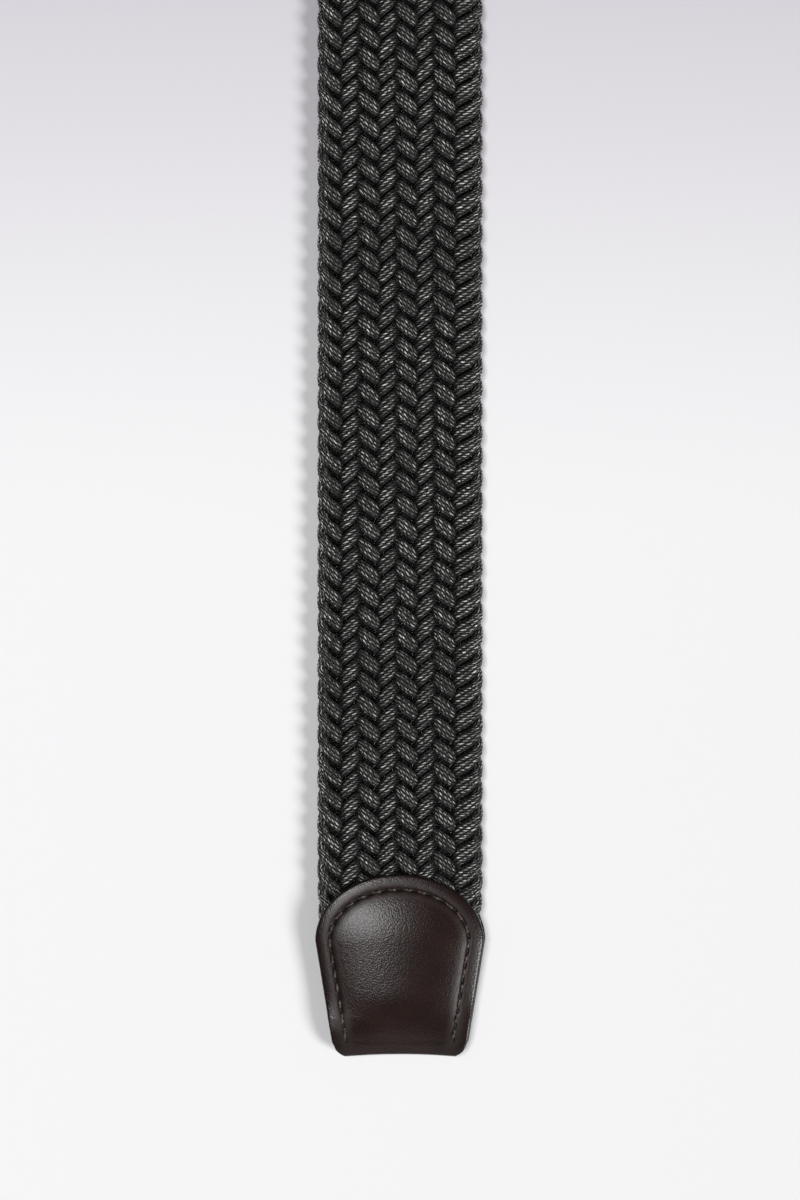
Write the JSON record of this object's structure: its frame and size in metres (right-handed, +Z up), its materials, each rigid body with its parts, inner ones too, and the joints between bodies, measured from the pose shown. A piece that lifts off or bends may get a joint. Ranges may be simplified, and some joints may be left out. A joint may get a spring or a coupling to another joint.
{
  "type": "braided belt",
  "caption": "Flat braided stretch belt lying straight, with a stitched leather tip folded over its free end and a leather chape that holds a plain frame buckle with a prong.",
  "frame": {"origin": "middle of the belt's length and width, at the level of its undersides", "axes": "+Y along the belt towards the buckle, +Z up out of the front faces, X across the strap"},
  "size_m": [0.0466, 1.1, 0.0063],
  "materials": {
    "braid": "dark grey and black twisted cords, plaited flat",
    "leather": "dark brown, fine grain, semi-gloss, black painted edges",
    "metal": "plain satin"
  },
  "bodies": {
    "root": {"braided_strap": "braid", "leather_tip": "leather", "leather_chape": "leather", "buckle": "metal"}
  },
  "joints": []
}
